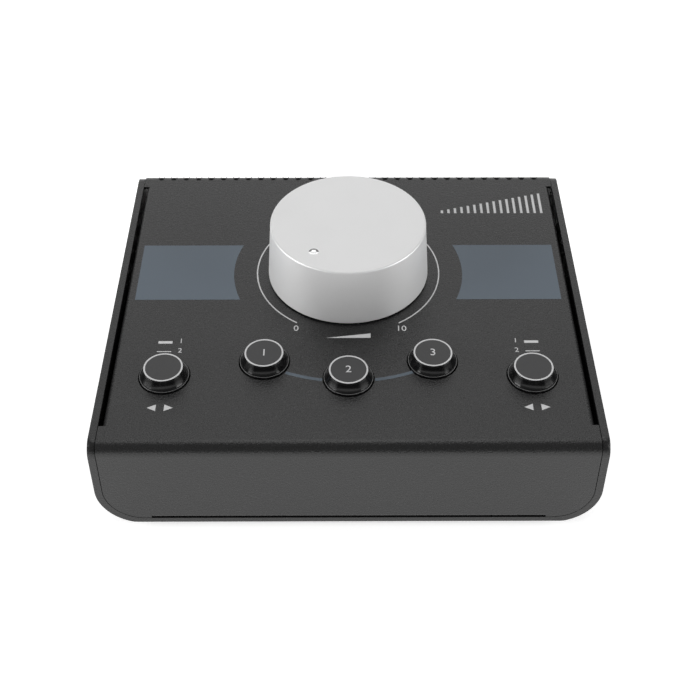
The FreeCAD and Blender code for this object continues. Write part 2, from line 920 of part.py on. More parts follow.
def ribbon_cable():
    """Flat cable from the control header rearward, then down into the socket header."""
    start = to_panel(Part.Vertex(ribbon_place, control_header_distance + header_length,
                                 control_board_bottom - header_height / 2)).Point
    way = Vector(0, math.cos(slope), math.sin(slope))
    corner = start + way * ((socket_header_middle() - start.y) / math.cos(slope))
    end = Vector(ribbon_place, corner.y, socket_board_top + header_height)
    first, middle, last = corner_arc(start, corner, end, ribbon_bend_radius)
    edges = [Part.makeLine(start, first), Part.Arc(first, middle, last).toShape(), Part.makeLine(last, end)]
    across = Vector(ribbon_width / 2, 0, 0)
    thick = way.cross(Vector(1, 0, 0)) * (ribbon_thickness / 2)
    corners = [start - across - thick, start - across + thick, start + across + thick, start + across - thick]
    section = Part.makePolygon(corners + corners[:1])
    return Part.Wire(edges).makePipeShell([section], True, False)


# All nodes, each with its solid where the whole object's middle is the origin


def panel_nodes():
    """Pieces drawn on the sloping panel."""
    nodes = {
        "volume_knob": volume_knob(),
        "knob_hub": knob_hub(),
        "pot_shaft": pot_shaft(),
        "pot_rotor": pot_rotor(),
        "pot_housing": pot_housing(),
        "pot_bushing": pot_bushing(),
        "pot_washer": pot_washer(),
        "pot_nut": pot_nut(),
        "control_board": control_board(),
        "control_board_standoffs": control_standoffs(),
        "control_board_screws": control_board_screws(),
        "control_board_header": control_header(),
    }
    for name, place in button_places().items():
        nodes[name + "_button_cap"] = button_cap(place)
        nodes[name + "_switch_plunger"] = switch_plunger(place)
        nodes[name + "_switch_housing"] = switch_housing(place)
        nodes[name + "_return_spring"] = return_spring(place)
    return nodes


def case_nodes():
    """Pieces drawn upright."""
    nodes = {
        "bottom_tray": bottom_tray(),
        "top_cover": top_cover(),
        "rear_panel": rear_panel(),
        "base_screws": base_screws(),
        "rear_screws": rear_screws(),
        "socket_board": socket_board(),
        "socket_board_standoffs": socket_standoffs(),
        "socket_board_screws": socket_board_screws(),
        "socket_board_header": socket_header(),
        "ribbon_cable": ribbon_cable(),
        "media_socket": small_socket(),
        "media_socket_nut": small_socket_nut(),
        "socket_nuts": socket_nuts(),
        "front_left_foot": foot(-1, False),
        "front_right_foot": foot(1, False),
        "rear_left_foot": foot(-1, True),
        "rear_right_foot": foot(1, True),
    }
    for name, x in socket_places().items():
        nodes[name + "_socket"] = large_socket(x)
    return nodes


def build():
    """Every node of the object at its place."""
    nodes = case_nodes()
    for name, shape in panel_nodes().items():
        nodes[name] = to_panel(shape)
    for shape in nodes.values():
        shape.translate(Vector(0, -depth_middle, 0))
    return nodes


def write_parts(nodes):
    os.makedirs("parts", exist_ok=True)
    for name, shape in nodes.items():
        shape.exportStep("parts/" + name + ".step")


write_parts(build())
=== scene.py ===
import json
import math

import bmesh
import bpy
from mathutils import Matrix, Vector


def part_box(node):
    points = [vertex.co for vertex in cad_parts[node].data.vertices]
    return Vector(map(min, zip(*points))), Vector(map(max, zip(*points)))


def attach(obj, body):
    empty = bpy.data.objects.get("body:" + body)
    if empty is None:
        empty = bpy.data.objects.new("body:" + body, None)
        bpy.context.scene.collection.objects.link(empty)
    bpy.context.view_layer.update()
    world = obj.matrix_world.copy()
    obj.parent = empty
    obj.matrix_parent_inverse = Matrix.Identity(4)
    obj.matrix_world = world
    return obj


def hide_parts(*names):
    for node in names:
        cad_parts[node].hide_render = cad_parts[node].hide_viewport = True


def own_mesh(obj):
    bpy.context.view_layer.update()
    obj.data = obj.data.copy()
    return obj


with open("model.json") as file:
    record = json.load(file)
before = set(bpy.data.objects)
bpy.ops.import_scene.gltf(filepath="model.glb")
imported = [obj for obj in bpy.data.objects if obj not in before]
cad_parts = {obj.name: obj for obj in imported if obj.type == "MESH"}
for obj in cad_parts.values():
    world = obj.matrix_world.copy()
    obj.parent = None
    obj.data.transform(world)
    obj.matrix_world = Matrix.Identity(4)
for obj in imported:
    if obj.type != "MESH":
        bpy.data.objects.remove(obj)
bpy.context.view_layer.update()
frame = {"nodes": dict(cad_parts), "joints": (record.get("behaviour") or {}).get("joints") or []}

# Looks of a studio monitor controller. Named sizes and places are millimetres, and those on the panel are
# about the knob. The floor and the lamps are in metres, and so are Blender's own lengths in the row frame.

MM = 0.001

# The sloping panel, read from the knob's joint: its own axes are across, up the slope and out of it
volume_joint = next(joint for joint in frame["joints"] if joint["name"] == "volume_turn")
panel_out = Vector(volume_joint["axis"]).normalized()
panel_across = Vector((1.0, 0.0, 0.0))
panel_up = panel_out.cross(panel_across).normalized()
knob_centre = Vector(volume_joint["pos_m"])
panel_frame = Matrix((
    (panel_across.x, panel_up.x, panel_out.x, knob_centre.x),
    (panel_across.y, panel_up.y, panel_out.y, knob_centre.y),
    (panel_across.z, panel_up.z, panel_out.z, knob_centre.z),
    (0.0, 0.0, 0.0, 1.0),
))

REARWARD = Matrix.Rotation(math.radians(-90), 4, "X")
DOWNWARD = Matrix.Rotation(math.radians(180), 4, "X")

# Angles in degrees below which neighbouring faces are shaded as one curve
SMOOTH_ANGLE = 30
CAP_SMOOTH_ANGLE = 28
ROUND_SMOOTH_ANGLE = 60


# Shader helpers


def new_material(name):
    """Material with a bare Principled shader and its coordinates in millimetres."""
    material = bpy.data.materials.new(name)
    material.use_nodes = True
    nodes = material.node_tree.nodes
    links = material.node_tree.links
    nodes.clear()
    output = nodes.new("ShaderNodeOutputMaterial")
    shader = nodes.new("ShaderNodeBsdfPrincipled")
    links.new(shader.outputs["BSDF"], output.inputs["Surface"])
    coordinates = nodes.new("ShaderNodeTexCoord")
    scale = nodes.new("ShaderNodeVectorMath")
    scale.operation = "SCALE"
    scale.inputs["Scale"].default_value = 1.0 / MM
    links.new(coordinates.outputs["Object"], scale.inputs[0])
    return material, shader, scale.outputs["Vector"]


def calculate(tree, operation, *values):
    """Math node whose inputs are numbers or other nodes' outputs."""
    node = tree.nodes.new("ShaderNodeMath")
    node.operation = operation
    for socket, value in zip(node.inputs, values):
        if isinstance(value, float):
            socket.default_value = value
        else:
            tree.links.new(value, socket)
    return node.outputs["Value"]


def noise(material, vector, scale, detail=3.0, roughness=0.5):
    """Noise whose scale is in features per millimetre."""
    node = material.node_tree.nodes.new("ShaderNodeTexNoise")
    node.inputs["Scale"].default_value = scale
    node.inputs["Detail"].default_value = detail
    node.inputs["Roughness"].default_value = roughness
    material.node_tree.links.new(vector, node.inputs["Vector"])
    return node.outputs["Fac"]


def spread(material, value, low, high, from_low=0.3, from_high=0.7):
    """Value carried from one range to another."""
    node = material.node_tree.nodes.new("ShaderNodeMapRange")
    node.inputs["From Min"].default_value = from_low
    node.inputs["From Max"].default_value = from_high
    node.inputs["To Min"].default_value = low
    node.inputs["To Max"].default_value = high
    material.node_tree.links.new(value, node.inputs["Value"])
    return node.outputs["Result"]


def shade_between(material, value, dark, light):
    """Colour between two, by a value from 0 to 1."""
    node = material.node_tree.nodes.new("ShaderNodeMix")
    node.data_type = "RGBA"
    node.inputs["A"].default_value = (*dark, 1.0)
    node.inputs["B"].default_value = (*light, 1.0)
    material.node_tree.links.new(value, node.inputs["Factor"])
    return node.outputs["Result"]


def bump(material, shader, height, strength, distance_mm):
    """Bump from a height value, as deep as a distance in millimetres."""
    node = material.node_tree.nodes.new("ShaderNodeBump")
    node.inputs["Strength"].default_value = strength
    node.inputs["Distance"].default_value = distance_mm * MM
    material.node_tree.links.new(height, node.inputs["Height"])
    material.node_tree.links.new(node.outputs["Normal"], shader.inputs["Normal"])


def grey(level):
    return (level, level, level)


GRAIN_DETAIL = 3.0
GRAIN_BREAKUP = 0.6
MOTTLE_DETAIL = 2.0


def textured(name, dark, light, rough, grain, depth, metallic=0.0, strength=0.3, mottle=0.3, index=None):
    """Finish with a fine grain and a broad mottle in features per millimetre, and that bump depth."""
    material, shader, place = new_material(name)
    links = material.node_tree.links
    fine = noise(material, place, grain, GRAIN_DETAIL, GRAIN_BREAKUP)
    broad = noise(material, place, mottle, MOTTLE_DETAIL)
    links.new(shade_between(material, broad, dark, light), shader.inputs["Base Color"])
    links.new(spread(material, fine, rough[0], rough[1]), shader.inputs["Roughness"])
    shader.inputs["Metallic"].default_value = metallic
    if index is not None:
        shader.inputs["IOR"].default_value = index
    bump(material, shader, fine, strength, depth)
    return material


# Finishes: paint scales in features per millimetre, bump depth in millimetres

PAINT_INDEX = 1.5
PAINT_WRINKLE = 1.35
PAINT_GRAIN = 3.0
PAINT_MOTTLE = 0.035
PAINT_DETAIL = 2.0
PAINT_BREAKUP = 0.6
PAINT_GRAIN_SHARE = 0.35
PAINT_ROUGHNESS = (0.24, 0.34)
PAINT_BUMP = 0.7
PAINT_BUMP_DEPTH = 0.2
GLOSS_INDEX = 1.36


def powder_coat(name, dark, light):
    """Fine textured black paint: a wrinkle of about three quarters of a millimetre over a smaller grain."""
    material, shader, place = new_material(name)
    tree = material.node_tree
    wrinkle = noise(material, place, PAINT_WRINKLE, PAINT_DETAIL, PAINT_BREAKUP)
    grain = noise(material, place, PAINT_GRAIN, PAINT_DETAIL, PAINT_BREAKUP)
    broad = noise(material, place, PAINT_MOTTLE, PAINT_DETAIL)
    tree.links.new(shade_between(material, broad, dark, light), shader.inputs["Base Color"])
    tree.links.new(spread(material, wrinkle, *PAINT_ROUGHNESS), shader.inputs["Roughness"])
    height = calculate(tree, "MULTIPLY_ADD", grain, PAINT_GRAIN_SHARE, wrinkle)
    shader.inputs["IOR"].default_value = PAINT_INDEX
    bump(material, shader, height, PAINT_BUMP, PAINT_BUMP_DEPTH)
    return material


def paints():
    return {
        "cover": powder_coat("cover_paint", (0.0095, 0.0095, 0.0097), (0.0125, 0.0125, 0.0128)),
        "tray": powder_coat("tray_paint", (0.009, 0.009, 0.0092), (0.012, 0.012, 0.0123)),
        "rear": powder_coat("rear_paint", (0.009, 0.009, 0.0092), (0.012, 0.012, 0.0123)),
        "print": textured("pale_print", (0.6, 0.6, 0.605), (0.66, 0.66, 0.665), (0.5, 0.6),
                          grain=4.0, depth=0.02, mottle=0.2),
        "window": textured("window_print", (0.092, 0.12, 0.15), (0.097, 0.126, 0.158), (0.4, 0.5),
                           grain=1.7, depth=0.03, strength=0.2, mottle=0.05),
    }


def metals():
    return {
        "aluminium": textured("satin_aluminium", grey(0.75), grey(0.79), (0.38, 0.54),
                              grain=2.2, depth=0.08, metallic=0.4, strength=0.5, mottle=0.05),
        "polished": textured("polished_dish", grey(0.86), grey(0.9), (0.1, 0.16),
                             grain=3.0, depth=0.005, metallic=1.0, strength=0.1, mottle=0.4),
        "black_steel": textured("black_steel", (0.02, 0.02, 0.021), (0.04, 0.04, 0.042), (0.3, 0.42),
                                grain=2.5, depth=0.02, metallic=0.8, strength=0.2),
        "steel": textured("plated_steel", (0.45, 0.45, 0.44), (0.6, 0.6, 0.58), (0.26, 0.4),
                          grain=2.0, depth=0.02, metallic=1.0, strength=0.2),
        "nickel": textured("nickel_contact", (0.5, 0.48, 0.42), (0.62, 0.6, 0.54), (0.22, 0.34),
                           grain=2.0, depth=0.02, metallic=1.0, strength=0.2),
    }


def plastics():
    return {
        "gloss": textured("cap_gloss", (0.003, 0.003, 0.0033), (0.005, 0.005, 0.0054), (0.13, 0.19),
                          grain=2.0, depth=0.01, strength=0.1, index=GLOSS_INDEX),
        # Pale grey for the painted highlight on the caps' rims
        "rim_highlight": textured("cap_rim_highlight", grey(0.14), grey(0.2), (0.2, 0.3), grain=2.0, depth=0.01, strength=0.1),
        "cap_face": textured("cap_face", (0.026, 0.026, 0.027), (0.031, 0.031, 0.032), (0.34, 0.44),
                             grain=3.5, depth=0.02, strength=0.25),
        "plastic": textured("black_plastic", (0.012, 0.012, 0.0125), (0.018, 0.018, 0.0185), (0.4, 0.55),
                            grain=3.0, depth=0.03, mottle=0.2),
        "laminate": textured("board_laminate", (0.008, 0.07, 0.03), (0.012, 0.1, 0.045), (0.25, 0.4),
                             grain=0.8, depth=0.03, mottle=0.2),
        "grey_plastic": textured("grey_plastic", grey(0.2), grey(0.25), (0.4, 0.5),
                                 grain=2.0, depth=0.02, mottle=0.2),
        # Black rubber for the feet, also used as painted shade for the vent rings and the screws' crosses
        "rubber_and_shade": textured("foot_rubber", grey(0.01), grey(0.016), (0.7, 0.85),
                           grain=3.0, depth=0.05, strength=0.5),
    }


materials = {**paints(), **metals(), **plastics()}


# Mesh helpers


def take_mesh(shape, name):
    """Mesh from an edited shape, which is freed."""
    mesh = bpy.data.meshes.new(name)
    shape.to_mesh(mesh)
    shape.free()
    return mesh


def finish_mesh(name, mesh, material, body, smooth_angle):
    """Object from a mesh, with its finish, smoothed below an angle and riding on a body."""
    mesh.materials.append(materials[material])
    mesh.shade_smooth()
    mesh.set_sharp_from_angle(angle=math.radians(smooth_angle))
    piece = bpy.data.objects.new(name, mesh)
    bpy.context.scene.collection.objects.link(piece)
    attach(piece, body)
    return piece


def lathe(profile, segments):
    """Mesh turned about its own Z from (radius, height) points in millimetres, taken in order."""
    shape = bmesh.new()
    rings = []
    for radius, height in profile:
        if radius == 0:
            rings.append([shape.verts.new((0, 0, height * MM))])
            continue
        ring = []
        for index in range(segments):
            turn = 2 * math.pi * index / segments
            place = (radius * MM * math.cos(turn), radius * MM * math.sin(turn), height * MM)
            ring.append(shape.verts.new(place))
        rings.append(ring)
    for upper, lower in zip(rings, rings[1:]):
        for index in range(segments):
            following = (index + 1) % segments
            corners = [upper[index % len(upper)], lower[index % len(lower)],
                       lower[following % len(lower)], upper[following % len(upper)]]
            distinct = list(dict.fromkeys(corners))
            shape.faces.new(distinct)
    return take_mesh(shape, "turned")


def arc_points(centre, radius, start, end, steps):
    """Points along an arc, angles in degrees, both ends included."""
    points = []
    for step in range(steps + 1):
        turn = math.radians(start + (end - start) * step / steps)
        points.append((centre[0] + radius * math.cos(turn), centre[1] + radius * math.sin(turn)))
    return points


def plate(outlines, low, high):
    """Flat plate from closed outlines in millimetres, each a list of (across, up), between two heights."""
    shape = bmesh.new()
    for outline in outlines:
        top = [shape.verts.new((x * MM, y * MM, high * MM)) for x, y in outline]
        bottom = [shape.verts.new((x * MM, y * MM, low * MM)) for x, y in outline]
        shape.faces.new(top)
        shape.faces.new(bottom[::-1])
        for index in range(len(outline)):
            following = (index + 1) % len(outline)
            shape.faces.new((top[index], bottom[index], bottom[following], top[following]))
    bmesh.ops.recalc_face_normals(shape, faces=shape.faces)
    return take_mesh(shape, "plate")


def ring_plate(inner, outer, start, end, steps, low, high):
    """Flat arc-shaped band about the middle; a full turn makes a closed ring."""
    full = abs(end - start) >= 360
    inside = arc_points((0, 0), inner, start, end, steps)
    outside = arc_points((0, 0), outer, start, end, steps)
    if full:
        inside.pop()
        outside.pop()
    shape = bmesh.new()
    rows = []
    for (ax, ay), (bx, by) in zip(inside, outside):
        corners = ((ax, ay, high), (bx, by, high), (bx, by, low), (ax, ay, low))
        rows.append([shape.verts.new((x * MM, y * MM, z * MM)) for x, y, z in corners])
    count = len(rows) if full else len(rows) - 1
    for index in range(count):
        row = rows[index]
        following = rows[(index + 1) % len(rows)]
        for corner in range(4):
            other = (corner + 1) % 4
            shape.faces.new((row[corner], row[other], following[other], following[corner]))
    if not full:
        shape.faces.new(rows[0])
        shape.faces.new(rows[-1][::-1])
    bmesh.ops.recalc_face_normals(shape, faces=shape.faces)
    return take_mesh(shape, "band")


def boxed(low, high):
    """Block mesh between two corners in millimetres."""
    outline = [(low[0], low[1]), (high[0], low[1]), (high[0], high[1]), (low[0], high[1])]
    return plate([outline], low[2], high[2])


def combined(meshes):
    """One mesh from several."""
    shape = bmesh.new()
    for mesh in meshes:
        shape.from_mesh(mesh)
        bpy.data.meshes.remove(mesh)
    return take_mesh(shape, "combined")


def on_panel(mesh, across=0.0, up=0.0, out=0.0):
    """Mesh moved by a place in millimetres about the knob, onto the sloping panel."""
    mesh.transform(panel_frame @ Matrix.Translation(Vector((across, up, out)) * MM))
    return mesh


def apply_modifiers(piece):
    """Bakes a piece's modifiers into its mesh."""
    graph = bpy.context.evaluated_depsgraph_get()
    graph.update()
    result = bpy.data.meshes.new_from_object(piece.evaluated_get(graph))
    piece.modifiers.clear()
    old = piece.data
    piece.data = result
    bpy.data.meshes.remove(old)


def cut_away(piece, cutter):
    """Cuts a mesh out of a piece for good."""
    tool = bpy.data.objects.new("cutter", cutter)
    bpy.context.scene.collection.objects.link(tool)
    modifier = piece.modifiers.new("cut", "BOOLEAN")
    modifier.operation = "DIFFERENCE"
    modifier.solver = "EXACT"
    modifier.object = tool
    apply_modifiers(piece)
    bpy.data.objects.remove(tool)


def panel_place(node):
    """Middle, lowest and highest corner of a CAD node in the panel's axes, in millimetres."""
    corners = [panel_frame.inverted() @ vertex.co for vertex in frame["nodes"][node].data.vertices]
    lows = [min(corner[axis] for corner in corners) for axis in range(3)]
    highs = [max(corner[axis] for corner in corners) for axis in range(3)]
    middle = [(low + high) / 2 / MM for low, high in zip(lows, highs)]
    return middle, [low / MM for low in lows], [high / MM for high in highs]


# CAD nodes that stay, with their finishes, and the tray's softened edges

TRAY_EDGE = 0.25
EDGE_SEGMENTS = 2
EDGE_ANGLE = 40.0
WELD_DISTANCE = 0.002
NODE_FINISHES = {
    "bottom_tray": "tray", "top_cover": "cover", "rear_panel": "rear", "volume_knob": "aluminium",
    "knob_hub": "plastic", "pot_nut": "steel", "pot_washer": "steel", "pot_shaft": "steel",
    "pot_bushing": "steel", "ribbon_cable": "grey_plastic", "control_board": "laminate",
    "socket_board": "laminate", "base_screws": "black_steel", "rear_screws": "black_steel",
}
ENDING_FINISHES = {
    "_foot": "rubber_and_shade", "_button_cap": "gloss", "_switch_plunger": "grey_plastic",
    "_switch_housing": "grey_plastic", "_return_spring": "steel", "_screws": "steel", "_standoffs": "steel",
}


def node_finish(node):
    """Finish that a node's name calls for; black plastic where it names none."""
    if node in NODE_FINISHES:
        return NODE_FINISHES[node]
    return next((ENDING_FINISHES[end] for end in ENDING_FINISHES if node.endswith(end)), "plastic")


def soften_edges(piece, edge):
    """Rounds a CAD node's sharp edges by that many millimetres."""
    weld = piece.modifiers.new("weld", "WELD")
    weld.merge_threshold = WELD_DISTANCE * MM
    bevel = piece.modifiers.new("edge", "BEVEL")
    bevel.width = edge * MM
    bevel.segments = EDGE_SEGMENTS
    bevel.limit_method = "ANGLE"
    bevel.angle_limit = math.radians(EDGE_ANGLE)
    bevel.harden_normals = True


def dress_nodes():
    for node, piece in frame["nodes"].items():
        piece.data.materials.clear()
        piece.data.materials.append(materials[node_finish(node)])
    soften_edges(frame["nodes"]["bottom_tray"], TRAY_EDGE)


dress_nodes()


# Volume knob: draft, rounded rim, hollow underside and the dished pointer

KNOB_TOP = 26.5
KNOB_TOP_RADIUS = 32.3
KNOB_BASE_RADIUS = 34.2
KNOB_BASE_GAP = 0.75
KNOB_BASE_TURN_IN = 0.25
KNOB_BASE_CHAMFER = (0.4, 0.3)
KNOB_WALL = 3.0
KNOB_EDGE = 0.75
KNOB_FLAT_RADIUS = 16
KNOB_SIDES = 256
DISH_DISTANCE = 23.6
DISH_ANGLE = -126.0
DISH_RADIUS = 2.0
DISH_DEPTH = 0.6
DISH_SKIN = 0.005
DISH_SIDES = 96
DISH_STEPS = 48


def knob_profile():
    edge_centre = (KNOB_TOP_RADIUS - KNOB_EDGE, KNOB_TOP - KNOB_EDGE)
    chamfer_width, chamfer_height = KNOB_BASE_CHAMFER
    top = [(0, KNOB_TOP), (KNOB_FLAT_RADIUS, KNOB_TOP), (KNOB_TOP_RADIUS - 2 * KNOB_EDGE, KNOB_TOP)]
    base = [
        (KNOB_BASE_RADIUS - KNOB_BASE_TURN_IN, KNOB_BASE_GAP + chamfer_height),
        (KNOB_BASE_RADIUS - chamfer_width, KNOB_BASE_GAP),
        (KNOB_BASE_RADIUS - KNOB_WALL, KNOB_BASE_GAP),
    ]
    hollow = [(KNOB_TOP_RADIUS - KNOB_WALL, KNOB_TOP - KNOB_WALL), (0, KNOB_TOP - KNOB_WALL)]
    return top + arc_points(edge_centre, KNOB_EDGE, 90, 4, 8) + base + hollow


def dish_cutter(across, up):
    """Ball that sinks the pointer's dish into the knob's top."""
    ball = (DISH_RADIUS ** 2 + DISH_DEPTH ** 2) / (2 * DISH_DEPTH)
    half_circle = arc_points((0, 0), ball, 90, -90, DISH_STEPS)
    profile = [(abs(round(radius, 6)), height) for radius, height in half_circle]
    return on_panel(lathe(profile, DISH_SIDES), across, up, KNOB_TOP - DISH_DEPTH + ball)


def polish_dish(piece, across, up):
    """Gives the faces of the pointer's dish the polished finish."""
    piece.data.materials.append(materials["polished"])
    middle = Vector((across, up))
    to_panel = panel_frame.inverted()
    for polygon in piece.data.polygons:
        place = to_panel @ polygon.center / MM
        near = (Vector((place.x, place.y)) - middle).length < DISH_RADIUS
        inside = DISH_SKIN < KNOB_TOP - place.z < DISH_DEPTH + KNOB_EDGE
        polygon.material_index = 1 if near and inside else 0


def volume_knob():
    mesh = on_panel(lathe(knob_profile(), KNOB_SIDES))
    piece = finish_mesh("knob_shell", mesh, "aluminium", "volume", SMOOTH_ANGLE)
    turn = math.radians(DISH_ANGLE)
    across = DISH_DISTANCE * math.cos(turn)
    up = DISH_DISTANCE * math.sin(turn)
    cut_away(piece, dish_cutter(across, up))
    piece.data.set_sharp_from_angle(angle=math.radians(SMOOTH_ANGLE))
    polish_dish(piece, across, up)
    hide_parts("volume_knob")


volume_knob()


# Button caps: printed ring on a satin face, gloss flared side, thin rim with a pale ring on it as a painted
# highlight

CAP_TOP = 4.9
CAP_TOP_RADIUS = 7.75
CAP_EDGE = 0.25
CAP_STEP = 0.45
CAP_STEP_WIDTH = 0.2
CAP_STEP_EDGE = 0.15
CAP_FLARE = ((0.32, 1.4), (0.68, 2.5), (1.08, 3.4), (1.42, 4.0))
CAP_RIM_RADIUS = 9.8
CAP_RIM_HEIGHT = 0.75
CAP_RIM_EDGE = 0.2
CAP_RIM_DROP = 0.25
CAP_SKIRT = 2.5
CAP_WALL = 1.3
CAP_ROOF = 1.6
CAP_FLAT_INSET = 1.2
CAP_SIDES = 160
FACE_INSET = 0.3
FACE_SIDES = 128
FACE_SINK = 0.05
RING_WIDTH = 0.65
RING_INSET = 0.1
RING_RISE = 0.03
# Pale ring on each cap's rim: a painted highlight
RIM_HIGHLIGHT_INNER_INSET = 0.3
RIM_HIGHLIGHT_OUTER_INSET = 0.12
RIM_HIGHLIGHT_SINK = 0.1
RIM_HIGHLIGHT_RISE = 0.02
BUTTONS = ("source", "mono", "mute", "dim", "monitor")


def cap_profile():
    """Stepped face, flared side, rounded rim and skirt, hollow inside."""
    face_edge = arc_points((CAP_TOP_RADIUS - CAP_EDGE, CAP_TOP - CAP_EDGE), CAP_EDGE, 90, 0, 5)
    step_centre = (CAP_TOP_RADIUS + CAP_STEP_WIDTH - CAP_STEP_EDGE, CAP_TOP - CAP_STEP - CAP_STEP_EDGE)
    step_edge = arc_points(step_centre, CAP_STEP_EDGE, 90, 10, 4)
    flare = [(CAP_TOP_RADIUS + wider, CAP_TOP - lower) for wider, lower in CAP_FLARE]
    rim_centre = (CAP_RIM_RADIUS - CAP_RIM_EDGE, CAP_RIM_HEIGHT - CAP_RIM_DROP)
    rim_edge = arc_points(rim_centre, CAP_RIM_EDGE, 110, 0, 5)
    face = [(0, CAP_TOP), (CAP_TOP_RADIUS - CAP_FLAT_INSET, CAP_TOP)]
    step = [(CAP_TOP_RADIUS, CAP_TOP - CAP_STEP)]
    skirt = [(CAP_RIM_RADIUS, -CAP_SKIRT), (CAP_RIM_RADIUS - CAP_WALL, -CAP_SKIRT)]
    inside = [(CAP_RIM_RADIUS - CAP_WALL, 0), (CAP_TOP_RADIUS - CAP_WALL, CAP_TOP - CAP_ROOF),
              (0, CAP_TOP - CAP_ROOF)]
    return face + face_edge + step + step_edge + flare + rim_edge + skirt + inside


def cap_part(button, part, mesh, material, across, up):
    name = button + "_cap_" + part
    mesh = on_panel(mesh, across, up)
    return finish_mesh(name, mesh, material, button + "_button", CAP_SMOOTH_ANGLE)


def button_cap(button):
    across, up, _ = panel_place(button + "_button_cap")[0]
    side = cap_part(button, "side", lathe(cap_profile(), CAP_SIDES), "gloss", across, up)
    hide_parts(button + "_button_cap")
    face_top = CAP_TOP + RING_RISE / 2
    face_low = CAP_TOP - FACE_SINK
    face_radius = CAP_TOP_RADIUS - FACE_INSET
    face_profile = [(0, face_top), (face_radius, face_top), (face_radius, face_low), (0, face_low)]
    cap_part(button, "face", lathe(face_profile, FACE_SIDES), "cap_face", across, up)
    ring_radius = CAP_TOP_RADIUS - RING_INSET
    ring = ring_plate(ring_radius - RING_WIDTH, ring_radius, 0, 360, CAP_SIDES,
                      face_low, CAP_TOP + RING_RISE)
    cap_part(button, "ring", ring, "print", across, up)
    # Pale grey ring on the rim: a painted highlight of the rim's lit edge
    rim_highlight = ring_plate(CAP_RIM_RADIUS - RIM_HIGHLIGHT_INNER_INSET, CAP_RIM_RADIUS - RIM_HIGHLIGHT_OUTER_INSET, 0, 360, CAP_SIDES,
                     CAP_RIM_HEIGHT - RIM_HIGHLIGHT_SINK, CAP_RIM_HEIGHT + RIM_HIGHLIGHT_RISE)
    cap_part(button, "rim_highlight", rim_highlight, "rim_highlight", across, up)
    return across, up


button_centres = {button: button_cap(button) for button in BUTTONS}


# Return springs: real coils in place of the CAD springs, riding on the case

COIL_RADIUS = 1.68
COIL_WIRE = 0.28
COIL_TURNS = 6
COIL_STEPS = 18
COIL_SIDES = 6


def coil_ring(shape, turn, height):
    """Ring of points round the wire at one place along it."""
    ring = []
    for side in range(COIL_SIDES):
        around = 2 * math.pi * side / COIL_SIDES
        reach = COIL_RADIUS + COIL_WIRE * math.cos(around)
        rise = height + COIL_WIRE * math.sin(around)
        place = Vector((reach * math.cos(turn), reach * math.sin(turn), rise))
        ring.append(shape.verts.new(place * MM))
    return ring


def coil(low, high):
    """Helical wire between two heights in millimetres."""
    shape = bmesh.new()
    rings = []
    steps = COIL_TURNS * COIL_STEPS
    for step in range(steps + 1):
        height = low + COIL_WIRE + (high - low - 2 * COIL_WIRE) * step / steps
        rings.append(coil_ring(shape, 2 * math.pi * step / COIL_STEPS, height))
    for ring, following in zip(rings, rings[1:]):
        for side in range(COIL_SIDES):
            after = (side + 1) % COIL_SIDES
            shape.faces.new((ring[side], ring[after], following[after], following[side]))
    shape.faces.new(rings[0][::-1])
    shape.faces.new(rings[-1])
    bmesh.ops.recalc_face_normals(shape, faces=shape.faces)
    return take_mesh(shape, "coil")


def return_spring(button):
    node = button + "_return_spring"
    (across, up, _), lows, highs = panel_place(node)
    low, high = lows[2], highs[2]
    mesh = on_panel(coil(low, high), across, up)
    spring = finish_mesh(button + "_spring_coil", mesh, "steel", "case", ROUND_SMOOTH_ANGLE)
    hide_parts(node)
    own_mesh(spring)


for spring_button in BUTTONS:
    return_spring(spring_button)


# Printing on the panel, in millimetres about the knob

PRINT_LOW = -0.02
PRINT_HIGH = 0.03
DIGIT_HALF_THICKNESS = 0.02
WINDOW_NEAR = -18.4
WINDOW_FAR = 17.0
WINDOW_OUTER = 89.2
WINDOW_ARC = 48.8
DIAL_RADIUS = 38.8
DIAL_LINE = 0.55
DIAL_START = -57.8
DIAL_END = 237.1
DIAL_DIGIT_SIZE = 4.4
DIAL_LOW_PLACE = (-21.3, -36.0)
DIAL_HIGH_PLACE = (21.6, -36.2)
BAND_RADIUS = 66.0
BAND_WIDTH = 1.5
BAND_SPANS = ((-112.0, -99.0), (-81.0, -67.5))
BAR_DISTANCE = 73.75
BAR_LENGTH = 5.7
BARS = (("wide", 18.9, 1.4), ("narrow", 13.6, 0.45))
BAR_DIGIT_SIZE = 3.6
BAR_DIGIT_GAP = 6.3
BAR_DIGITS = (("1", 19.6), ("2", 14.1))
CAP_DIGIT_SIZE = 5.2
SCALE_TICKS = 16
SCALE_START = 42.0
SCALE_PITCH = 3.0
SCALE_TICK = 1.1
SCALE_FOOT = 39.5
SCALE_LOW = 2.0
SCALE_HIGH = 14.5
WEDGE_HALF = 9.0
WEDGE_FOOT = -41.6
WEDGE_TALL = 2.6
ARROW_NEAR = 1.6
ARROW_FAR = 5.0
ARROW_TALL = 1.7
ARROW_DROP = 17.0


def print_piece(name, mesh, material="print", across=0.0, up=0.0):
    """Printed piece on the cover, moved to its place."""
    finish_mesh(name, on_panel(mesh, across, up), material, "case", SMOOTH_ANGLE)


def flat_print(outlines):
    return plate(outlines, PRINT_LOW, PRINT_HIGH)


def arc_print(radius, width, start, end, steps):
    return ring_plate(radius - width / 2, radius + width / 2, start, end, steps, PRINT_LOW, PRINT_HIGH)


def window_print(side):
    """Blue-grey field whose inner edge follows a circle about the knob."""
    far = math.degrees(math.asin(WINDOW_FAR / WINDOW_ARC))
    near = math.degrees(math.asin(WINDOW_NEAR / WINDOW_ARC))
    outline = [(WINDOW_OUTER, WINDOW_NEAR), (WINDOW_OUTER, WINDOW_FAR)]
    outline += arc_points((0, 0), WINDOW_ARC, far, near, 24)
    outline = [(side * x, y) for x, y in outline]
    name = "left" if side < 0 else "right"
    print_piece(name + "_window_print", flat_print([outline]), "window")


